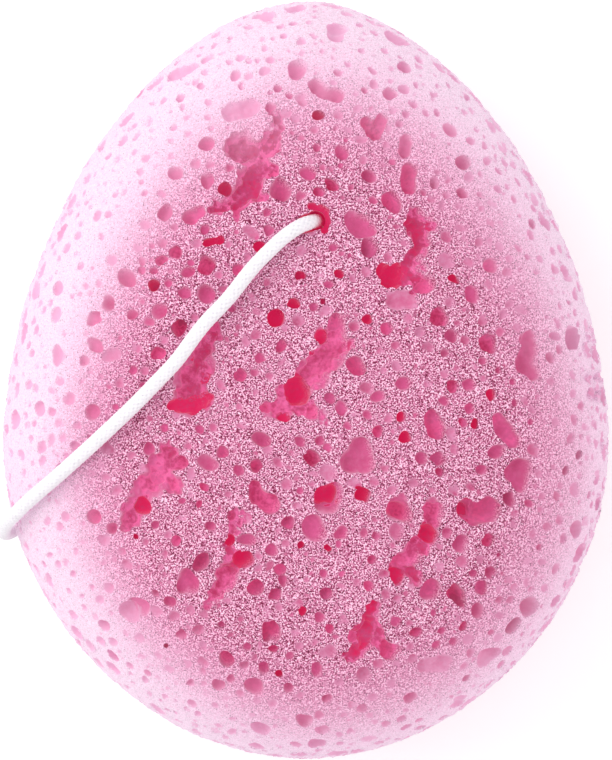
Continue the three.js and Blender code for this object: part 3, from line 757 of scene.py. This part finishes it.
def bubble(i):
    """The ball of pore i, as places and faces."""
    level = next(level for radius, level in BALL_LEVELS if pore_radii[i] > radius)
    directions, faces = balls[level]
    axis = pore_random.normal(size=3)
    axis /= np.linalg.norm(axis)
    stretch = 1 + BUBBLE_STRETCH * pore_random.uniform(*STRETCH_DRAW)
    waves = pore_random.normal(scale=WAVE_SPREAD, size=(BUBBLE_WAVES, 3))
    phases = pore_random.uniform(0, 2 * math.pi, BUBBLE_WAVES)
    lump_height = BUBBLE_LUMPS + LARGE_BUBBLE_LUMPS * pore_radii[i]
    lumps = 1 + lump_height * np.sin(directions @ waves.T + phases).sum(axis=1) / 2
    shaped = directions * lumps[:, None]
    shaped = shaped / math.sqrt(stretch) + np.outer(shaped @ axis, axis) * (stretch - 1 / math.sqrt(stretch))
    from_mouth = pore_middles[i] - pore_places[i] + pore_radii[i] * shaped
    below = np.maximum(0, -from_mouth @ pore_outward[i])
    return pore_places[i] + from_mouth + np.outer(below, pore_lean[i]), faces


def cut(tool):
    """Cuts a tool's volume out of the foam and removes the tool."""
    pick(foam)
    modifier = foam.modifiers.new("cut", "BOOLEAN")
    modifier.operation = "DIFFERENCE"
    modifier.solver = "MANIFOLD"
    modifier.object = tool
    bpy.ops.object.modifier_apply(modifier="cut")
    bpy.data.objects.remove(tool)


def tool_from(name, places, faces):
    mesh = bpy.data.meshes.new(name)
    mesh.from_pydata(np.asarray(places).tolist(), [], faces)
    tool = bpy.data.objects.new(name, mesh)
    bpy.context.collection.objects.link(tool)
    return tool


BAR_RINGS = 4  # of the cord to one ring of a bar


def bar_tool(name, first_place, last_place, radius, lower=0, sides=24):
    """A round bar along the cord between two of its places."""
    first, last = nearest_ring(first_place), nearest_ring(last_place)
    rings = np.arange(min(first, last), max(first, last) + 1, BAR_RINGS)
    turn = 2 * math.pi * np.arange(sides) / sides
    spokes = np.cos(turn)[None, :, None] * cord_side[rings][:, None, :]
    spokes = spokes + np.sin(turn)[None, :, None] * cord_up[rings][:, None, :]
    places = cord_line[rings][:, None, :] + radius * spokes - np.array([0, 0, lower])
    side = np.arange(sides)
    after = (side + 1) % sides
    faces = [tuple(side[::-1]), tuple((len(rings) - 1) * sides + side)]
    for ring in range(len(rings) - 1):
        start = ring * sides
        faces += [
            (start + a, start + b, start + sides + b, start + sides + a) for a, b in zip(side, after)
        ]
    return tool_from(name, places.reshape(-1, 3), faces)


BORE_RADIUS = 1.8 * MM  # the soft foam closes on the cord
BORE_SIDES = 32
BORE_MIDDLE = 25  # half way up the block, in millimetres
MOUTH_CLEARANCE = 0.15 * MM
CHANNEL_CLEARANCE = 0.6 * MM
CHANNEL_DROP = 1.6 * MM
POCKET_CLEARANCE = 1.0 * MM
POCKET_EDGE = 2.0 * MM
POCKET_EDGE_STEPS = 4
POCKET_SIDES = 48
bpy.ops.mesh.primitive_cylinder_add(
    vertices=BORE_SIDES, radius=BORE_RADIUS, depth=6 * middle_height,
    location=metres((*BORE_PLACE, BORE_MIDDLE)),
)
cut(bpy.context.object)
cut(bar_tool("front_mouth", BORE_FRONT[1], BORE_STRAIGHT[0], CORD_RADIUS + MOUTH_CLEARANCE))
cut(bar_tool("back_mouth", BORE_BACK[0], knot_half(True)[-1], CORD_RADIUS + MOUTH_CLEARANCE))
for drop in (0, CHANNEL_DROP):
    cut(bar_tool("channel", knot_half(False)[-1], RIM_RUN[0], CORD_RADIUS + CHANNEL_CLEARANCE, drop))

# The knot's pocket: a long hole with round ends and a rounded ceiling
pocket_half_wide = (KNOT_PITCH / 2 + KNOT_SPREAD) * MM + CORD_RADIUS + POCKET_CLEARANCE
pocket_half_long = (KNOT_HALF_LENGTH + KNOT_TURN_DEPTH + KNOT_TAIL) * MM + POCKET_CLEARANCE
pocket_top = (knot_middle[2] + KNOT_PITCH / 2) * MM + CORD_RADIUS + POCKET_CLEARANCE
bpy.ops.object.select_all(action="DESELECT")
bpy.ops.mesh.primitive_cylinder_add(vertices=POCKET_SIDES, radius=pocket_half_wide, depth=2 * pocket_top)
pocket = bpy.context.object
pocket_places = vertex_places(pocket.data)
pocket_places[:, 0] += np.sign(np.round(pocket_places[:, 0], 6)) * (pocket_half_long - pocket_half_wide)
pocket.data.vertices.foreach_set("co", pocket_places.astype(np.float32).ravel())
edge = pocket.modifiers.new("edge", "BEVEL")
edge.width = POCKET_EDGE
edge.segments = POCKET_EDGE_STEPS
edge.limit_method = "ANGLE"
edge.angle_limit = math.radians(60)
bpy.ops.object.modifier_apply(modifier="edge")
pocket.rotation_euler = (0, 0, KNOT_TURN)
pocket.location = (knot_middle[0] * MM, knot_middle[1] * MM, 0)
bpy.ops.object.transform_apply()
cut(pocket)

for members in cut_rounds:
    places = []
    faces = []
    start = 0
    for i in members:
        own_places, own_faces = bubble(i)
        places.append(own_places)
        faces += [tuple(start + c for c in face) for face in own_faces]
        start += len(own_places)
    cut(tool_from("bubbles", np.vstack(places), faces))

# Runs: balls close together along each, melted into one hollow. The cavities' walls are lumpy, and small
# bubbles scallop their edges.
RUN_STEP = 0.3  # distance of the balls over their radius
RUN_GRID = 0.25 * MM
RUN_BALL = 3  # subdivisions
SCALLOP_REACH = (0.75, 1.1)  # how far out a small bubble lies, over the ball's radius
SCALLOP_SIZE = (3, 6)  # its radius in pixels
RUN_LUMPS = ((2.4 * MM, 0.8 * MM), (1.0 * MM, 0.6 * MM))  # size and height
CAVITY_WALLS = (1.0, 0.35)  # share of the lumps' height, and of the balls that have a scallop
MERGED_WALLS = (0.4, 0)
run_skin = []
run_middles = []
run_radii = []
run_painted_shades = []


def run_balls(run, scallops):
    """The balls along a run, and small ones at the edge of a share of them, in pixels."""
    for here, after in zip(run, run[1:]):
        steps = math.ceil(math.dist(here[:2], after[:2]) / (RUN_STEP * min(here[2], after[2])))
        for step in range(steps + 1):
            x, y, radius = (a + (b - a) * step / steps for a, b in zip(here, after))
            yield x, y, radius
            if pore_random.random() < scallops:
                turn = pore_random.uniform(0, 2 * math.pi)
                out = radius * pore_random.uniform(*SCALLOP_REACH)
                yield x + out * math.cos(turn), y + out * math.sin(turn), pore_random.uniform(*SCALLOP_SIZE)


def cut_runs(runs, kind, lumpiness, scallops):
    """Cuts the melted hollows of some runs out of the foam."""
    sink, own_painted_shade = kind
    directions, ball_faces = balls[RUN_BALL]
    places = []
    faces = []
    for run in runs:
        run_painted_shade = own_painted_shade + PAINTED_SHADE_SPREAD * pore_random.uniform(-1, 1)
        for pixel_x, pixel_y, pixel_radius in run_balls(run, scallops):
            mouth = pixel_radius * FACE_SCALE
            place = np.array(face_place(pixel_x, pixel_y))
            run_skin.append(place)
            run_middles.append(place - skin_facts(place[None])[0][0] * sink * mouth)
            run_radii.append(mouth * math.hypot(1, sink))
            run_painted_shades.append(run_painted_shade)
            faces += [tuple(len(places) * len(directions) + c for c in face) for face in ball_faces]
            places.append(run_middles[-1] + run_radii[-1] * directions)
    hollow = tool_from("hollow", np.vstack(places), faces)
    pick(hollow)
    melt = hollow.modifiers.new("melt", "REMESH")
    melt.mode = "VOXEL"
    melt.voxel_size = RUN_GRID
    bpy.ops.object.modifier_apply(modifier="melt")
    places = vertex_places(hollow.data)
    normals = np.array([v.normal for v in hollow.data.vertices])
    lumps = sum(
        np.array([noise.noise(Vector(p) / size) for p in places]) * height for size, height in RUN_LUMPS
    )
    places += normals * (lumpiness * lumps)[:, None]
    places += lean(places) * np.maximum(0, skin_facts(places)[1])[:, None]
    hollow.data.vertices.foreach_set("co", places.astype(np.float32).ravel())
    hollow.data.update()
    cut(hollow)


cut_runs(CAVITY_RUNS, CAVITY_KIND, *CAVITY_WALLS)
cut_runs(SOFT_RUNS, SOFT_KIND, *CAVITY_WALLS)
for runs, kind in (
    (PALE_RUNS, PALE_KIND), (PLAIN_RUNS, PLAIN_KIND), (RICH_RUNS, RICH_KIND), (DEEP_RUNS, DEEP_KIND),
):
    cut_runs(runs, kind, *MERGED_WALLS)

# Crumbs that the pores cut loose fall out
bpy.ops.object.mode_set(mode="EDIT")
bpy.ops.mesh.separate(type="LOOSE")
bpy.ops.object.mode_set(mode="OBJECT")
bodies = sorted(bpy.context.selected_objects, key=lambda o: len(o.data.vertices))
foam = bodies.pop()
foam.name = "foam_block"
for crumb in bodies:
    bpy.data.objects.remove(crumb)

# The painted shade of each place in a pore is that of the bubble on whose wall it lies, darker and redder in
# deep pores in place of their shade. It fades towards the mouth, and on the flank that leans outwards the
# skin's colour goes on down as painted light on the lit wall.
# The bore's walls are painted in full shade, the other hollows' walls lightly.
BORE_PAINTED_SHADE = 1.0
OTHER_PAINTED_SHADE = 0.3
NEAR_REACH = 3  # radii round a bubble's mouth within which its wall is looked for
WALL_REACH = 0.4  # how far off its ball a wall may lie, over the ball's radius
FADE_DEPTH = 0.8  # depth at which the full tone is reached, over the mouth radius
# The outward-leaning flank of a pore is painted in the skin's lighter colour: painted light on the lit wall.
FLANK_START = 0.1  # from the bubble's middle, over its radius
FLANK_LEAN = 0.6  # lean at which the flank fades wholly
places = vertex_places(foam.data)
outward, depth = skin_facts(places)
run_skin = np.array(run_skin)
all_skin = np.vstack([pore_places, run_skin])
all_middles = np.vstack([pore_middles, run_middles])
all_outward = np.vstack([pore_outward, skin_facts(run_skin)[0]])
all_lean = np.vstack([pore_lean, lean(run_skin)])
all_radii = np.concatenate([pore_radii, run_radii])
all_painted_shades = np.concatenate([pore_painted_shades, run_painted_shades])
by_x = np.argsort(places[:, 0])
sorted_x = places[by_x, 0]
in_bore = np.hypot(places[:, 0] - BORE_PLACE[0] * MM, places[:, 1] - BORE_PLACE[1] * MM) < 2 * BORE_RADIUS
painted_shade = np.where(in_bore, BORE_PAINTED_SHADE, OTHER_PAINTED_SHADE)
painted_lit_flank = np.zeros(len(places))
from_wall = np.full(len(places), np.inf)
for skin, middle, own_outward, own_lean, radius, own_painted_shade in zip(
    all_skin, all_middles, all_outward, all_lean, all_radii, all_painted_shades
):
    reach = NEAR_REACH * radius
    first, last = np.searchsorted(sorted_x, [skin[0] - reach, skin[0] + reach])
    near = by_x[first:last]
    near = near[np.abs(places[near, 1] - skin[1]) < reach]
    from_skin = places[near] - skin
    from_mouth = from_skin - np.outer(np.maximum(0, -from_skin @ own_outward), own_lean)
    distance = np.abs(np.linalg.norm(from_mouth - (middle - skin), axis=1) - radius)
    closer = (distance < from_wall[near]) & (distance < WALL_REACH * radius)
    near = near[closer]
    from_wall[near] = distance[closer]
    painted_shade[near] = own_painted_shade * eased(np.clip(depth[near] / (FADE_DEPTH * radius), 0, 1))
    leaning = max(np.linalg.norm(own_lean), 1e-6)
    outer = -from_skin[closer] @ own_lean / (leaning * radius)
    outer = np.clip((outer - FLANK_START) / (1 - FLANK_START), 0, 1)
    painted_lit_flank[near] = min(1, leaning / FLANK_LEAN) * eased(outer)

# The painted shade varies at random, as the dye does
MOTTLE_SIZE = 2.6 * MM
MOTTLE = 0.16
mottle = np.array([noise.noise(Vector(p) / MOTTLE_SIZE) for p in places])
painted_shade = np.clip(painted_shade * (1 + MOTTLE * mottle), 0, 1)

# The cut cells roughen the skin: fine grain, coarser at the outline, and a slow unevenness. The right edge is
# torn a little and has three bites, given by pixel down in the picture, half length and depth in pixels.
GRAIN_SIZE = 1.1 * MM
GRAIN_HEIGHT = 0.11 * MM
FRINGE_SIZE = 0.9 * MM
FRINGE_HEIGHT = 0.3 * MM
FRINGE_LEVEL = 0.3  # noise at which the fringe stands at the block's own outline
UNEVEN_SIZE = 9 * MM
UNEVEN_HEIGHT = 0.3 * MM
UNEVEN_LEVEL = 0.35
TORN_SIZE = 4 * MM
TORN_HEIGHT = 0.8 * MM
RIM_BITES = [(342, 22, 4), (377, 6, 7), (394, 8, 8)]
DOWN_STRETCH = 0.2  # the edge's tears are this much longer down the side
SKIN_DEPTH = 0.03 * MM
EDGE_START = 0.88  # share of the outline
EDGE_WIDTH = 0.1
# The rolled edge's pale fuzz is painted sheen; it starts sooner on the lit left and towards the tip, as
# painted light.
FUZZ_AND_SHEEN_START = 0.62  # share of the outline from which the rolled edge is fuzzy
FUZZ_AND_SHEEN_WIDTH = 0.35
PAINTED_LIGHT_LEFT = 0.12  # it starts earlier on the left
PAINTED_LIGHT_RIGHT = 0.05  # and later on the right
PAINTED_LIGHT_UP = 0.06  # and earlier towards the tip
FOAM_SMOOTH = math.radians(45)  # sharper edges stay edges
share = outline_share(places[:, 0], places[:, 1])[0]
rim = np.clip((share - EDGE_START) / EDGE_WIDTH, 0, 1)
torn = rim * np.clip(places[:, 0] / half_width, 0, 1)
pixel_down = PICTURE_SIZE[1] / 2 - places[:, 1] / PICTURE_SCALE
bitten = sum(
    depth_pixels * PICTURE_SCALE * np.clip(1 - ((pixel_down - middle) / half_length) ** 2, 0, 1)
    for middle, half_length, depth_pixels in RIM_BITES
)
on_skin = np.flatnonzero((depth < SKIN_DEPTH) & (places[:, 2] > SKIN_DEPTH))
for i in on_skin:
    p = Vector(places[i])
    down = Vector((p.x, p.y, DOWN_STRETCH * p.z))
    grain = noise.noise(p / GRAIN_SIZE) * GRAIN_HEIGHT
    fringe = (noise.noise(down / FRINGE_SIZE) - FRINGE_LEVEL) * FRINGE_HEIGHT * rim[i]
    uneven = (noise.noise(p / UNEVEN_SIZE) - UNEVEN_LEVEL) * UNEVEN_HEIGHT
    tear = (min(0, noise.noise(down / TORN_SIZE)) * TORN_HEIGHT - bitten[i]) * torn[i]
    places[i] += outward[i] * (grain + fringe + uneven + tear)
foam.data.vertices.foreach_set("co", places.astype(np.float32).ravel())
# Mask of the pale edge: painted sheen towards the outline, shifted towards the lit left and tip as painted
# light.
across = places[:, 0] / half_width
painted_light_shift = PAINTED_LIGHT_UP * (places[:, 1] - widest_y) / TIP_REACH
painted_light_shift = painted_light_shift - np.where(across < 0, PAINTED_LIGHT_LEFT, PAINTED_LIGHT_RIGHT) * across
fuzz_and_painted_light = np.clip((share + painted_light_shift - FUZZ_AND_SHEEN_START) / FUZZ_AND_SHEEN_WIDTH, 0, 1)
carried = {"depth_mm": np.maximum(depth, 0) / MM, "painted_shade": painted_shade, "fuzz_and_painted_light": fuzz_and_painted_light, "painted_lit_flank": painted_lit_flank}
for name, values in carried.items():
    attribute = foam.data.attributes.new(name, "FLOAT", "POINT")
    attribute.data.foreach_set("value", values.astype(np.float32))
foam.data.update()
pick(foam)
bpy.ops.object.shade_smooth_by_angle(angle=FOAM_SMOOTH)

# Dyed polyurethane foam, cut open: matt, with painted highlight on the cut struts and painted shade in open
# cells, and a pale fuzz of painted sheen on the rolled edge, paler on the lit left. Bubble walls are smooth;
# they are painted the darker and redder the deeper they are, as painted shade, and a painted glow keeps the
# deep ones crimson in place of light bounced inside the foam.
STRUT = 0.27 * MM
STRUT_RELIEF = 0.12 * MM
CELL = 0.36 * MM
EDGE_GRAIN = 0.5 * MM
WALL_GRAIN = 0.7 * MM
# The pale edge is fuzz painted as sheen, with painted light on the left and towards the tip.
FUZZ_AND_SHEEN_COVER = (0, 0.8, 0, 0.78)  # fuzz from and to, and how much of the skin it hides from and to
# The dots are painted shade inside open cells.
CELL_SHADE_EDGE = (0.26, 0.4)  # from a cell's middle, over the cell's size
OPEN_CELLS = (0.2, 0.24)  # share of the cells that have a dot, and of those with a faint one
CELL_SHADE_IN_FUZZ = 0.3  # strength that the dots keep in the fuzz
WALL_TONES = 0.07  # how far the grain takes a wall's tone up or down
WALL_FUZZ_AND_SHEEN = (0.15, 1, 0, 0.8)  # the same for the walls
FLANK_WALL = 0.1  # share of wall colour left on the flank
WALL_DEPTHS = (0.55, 0.85)  # in millimetres, over which the skin gives way to the wall
# Where the painted glow of deep pores starts and is full, by painted shade and by depth.
GLOW_FROM_SHADES = (0.55, 1)
GLOW_DEPTHS = (0.2, 0.8)  # in millimetres
GLOW_FUZZ_AND_SHEEN = (0, 0.7, 1, 0.2)  # fuzz from and to, and light from and to
# The emission colour is the crimson of the painted glow in deep pores.
foam_pink, tree, shader = new_material("pink_polyurethane_foam", {
    "Roughness": 0.95, "Specular IOR Level": 0.1, "Sheen Weight": 0.6, "Sheen Roughness": 0.5,
    "Sheen Tint": "#FDEBFA", "Emission Color": "#A4143F",
})


def add_math(tree, operation, first, second):
    """Arithmetic on the outputs of two nodes."""
    made = add_node(tree, "ShaderNodeMath", {"operation": operation}, i0=first, i1=second)
    return made.outputs["Value"]


place = add_node(tree, "ShaderNodeTexCoord").outputs["Object"]
struts = add_noise(tree, STRUT, 1.0, place, 0.6)
# Skin speckle: the foam's cells, with the brightest specks painted highlight and the darkest painted shade.
skin = add_ramp(
    tree, struts,
    [(0.37, "#701838"), (0.44, "#B04E78"), (0.51, "#D681A8"), (0.57, "#F2AECE"), (0.63, "#FFD6EC")],
)
fuzz_and_painted_light = read_attribute(tree, "fuzz_and_painted_light")
# Pale edge colours: painted sheen, and painted light on the lit side.
fuzz_and_sheen_white = add_ramp(tree, fuzz_and_painted_light, [(0.0, "#F092C2"), (0.4, "#F5B4D8"), (0.75, "#F8D2EB"), (1.0, "#FAE2F5")])
skin = add_mix(tree, add_range(tree, fuzz_and_painted_light, *FUZZ_AND_SHEEN_COVER), skin, fuzz_and_sheen_white)
# The dark dots in open cells are painted shade inside the cells.
cells = add_node(tree, "ShaderNodeTexVoronoi", {"Scale": 1 / CELL}, Vector=place)
cell_draw = add_node(tree, "ShaderNodeSeparateColor", Color=cells.outputs["Color"]).outputs["Red"]
painted_cell_shade = add_range(tree, cells.outputs["Distance"], *CELL_SHADE_EDGE, 1, 0)
painted_cell_shade = add_math(tree, "MULTIPLY", painted_cell_shade, add_range(tree, cell_draw, *OPEN_CELLS, 1, 0))
painted_cell_shade = add_math(tree, "MULTIPLY", painted_cell_shade, add_range(tree, fuzz_and_painted_light, 0, 1, 1, CELL_SHADE_IN_FUZZ))
skin = add_mix(tree, painted_cell_shade, skin, "#4E0A2C")

depth = read_attribute(tree, "depth_mm")
wall_grain = add_noise(tree, WALL_GRAIN, 2.0, place)
grain_tone = add_range(tree, wall_grain, 0.3, 0.7, -WALL_TONES, WALL_TONES)
painted_shade = add_math(tree, "ADD", read_attribute(tree, "painted_shade"), grain_tone)
# Pore wall colours by painted shade: the deeper, the darker and redder, in place of the shade inside a pore.
wall = add_ramp(tree, painted_shade, [
    (0.0, "#DC8FB4"), (0.15, "#D8769F"), (0.4, "#D45C8F"),
    (0.66, "#E66BA4"), (0.8, "#A44672"), (1, "#A82050"),
])
# On the pale edge the pore walls are painted paler too: painted sheen and painted light.
wall = add_mix(tree, add_range(tree, fuzz_and_painted_light, *WALL_FUZZ_AND_SHEEN), wall, "#F2BCDB")
# On the lit outer flank the wall colour gives way to the skin's: painted light.
wall_off_lit_flank = add_range(tree, read_attribute(tree, "painted_lit_flank"), 0, 1, 1, FLANK_WALL)
ragged_depth = add_math(tree, "ADD", depth, add_noise(tree, EDGE_GRAIN, 2.0, place))
wall_share = add_math(tree, "MULTIPLY", add_range(tree, ragged_depth, *WALL_DEPTHS), wall_off_lit_flank)
colour = add_mix(tree, wall_share, skin, wall)
# Painted glow: deep pores emit crimson in place of light bounced inside the foam, less on the pale edge and
# lit flank.
painted_glow = add_math(tree, "MULTIPLY", add_range(tree, painted_shade, *GLOW_FROM_SHADES), add_range(tree, depth, *GLOW_DEPTHS))
painted_glow = add_math(tree, "MULTIPLY", painted_glow, add_range(tree, fuzz_and_painted_light, *GLOW_FUZZ_AND_SHEEN))
painted_glow = add_math(tree, "MULTIPLY", painted_glow, wall_off_lit_flank)
relief = add_node(tree, "ShaderNodeBump", {"Strength": 0.5, "Distance": STRUT_RELIEF}, Height=struts)
tree.links.new(colour, shader.inputs["Base Color"])
tree.links.new(painted_glow, shader.inputs["Emission Strength"])
tree.links.new(relief.outputs["Normal"], shader.inputs["Normal"])
foam.data.materials.clear()
foam.data.materials.append(foam_pink)
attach(foam, "sponge")
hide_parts("foam_body")


# Floor and light
# A plain white sheet under the sponge, a near soft lamp at the left, a wide one at the right and a white
# surround that is lighter at the horizon. The sheet looks a little lighter than it lights the sponge.
FLOOR_SIZE = 4.0
FLOOR_GAP = 0.5 * MM
FLOOR_LIFT = 0.22
bpy.ops.object.select_all(action="DESELECT")
bpy.ops.mesh.primitive_plane_add(size=FLOOR_SIZE, location=(0, 0, -FLOOR_GAP))
floor = bpy.context.object
floor.name = "floor"
floor_white, tree, shader = new_material("white_paper", {
    "Base Color": "#F4F4F4", "Roughness": 0.9, "Specular IOR Level": 0.0, "Emission Color": "#FFFFFF",
})
seen = add_node(tree, "ShaderNodeLightPath").outputs["Is Camera Ray"]
tree.links.new(add_range(tree, seen, 0, 1, 0, FLOOR_LIFT), shader.inputs["Emission Strength"])
floor.data.materials.append(floor_white)

# The lamps: place and width in metres and power in watts. The left one is near, so the left side is lighter.
LAMPS = {
    "soft_lamp_left": ((-0.32, 0.14, 0.32), 0.5, 0.9),
    "soft_lamp_right": ((0.85, -0.3, 0.45), 1.8, 2.5),
}
for name, (place, width, power) in LAMPS.items():
    bpy.ops.object.light_add(type="AREA", location=place)
    lamp = bpy.context.object
    lamp.name = name
    lamp.data.shape = "DISK"
    lamp.data.size = width
    lamp.data.energy = power
    lamp.rotation_euler = (Vector((0, 0, middle_height)) - lamp.location).to_track_quat("-Z", "Y").to_euler()

HORIZON_LIGHT = 1.15
ZENITH_LIGHT = 0.75
world = bpy.data.worlds.new("surround")
bpy.context.scene.world = world
world.use_nodes = True
tree = world.node_tree
background = tree.nodes["Background"]
background.inputs["Color"].default_value = (1, 1, 1, 1)
direction = add_node(tree, "ShaderNodeTexCoord").outputs["Generated"]
height = add_node(tree, "ShaderNodeSeparateXYZ", Vector=direction).outputs["Z"]
light = add_range(tree, height, 0, 1, HORIZON_LIGHT, ZENITH_LIGHT)
tree.links.new(light, background.inputs["Strength"])
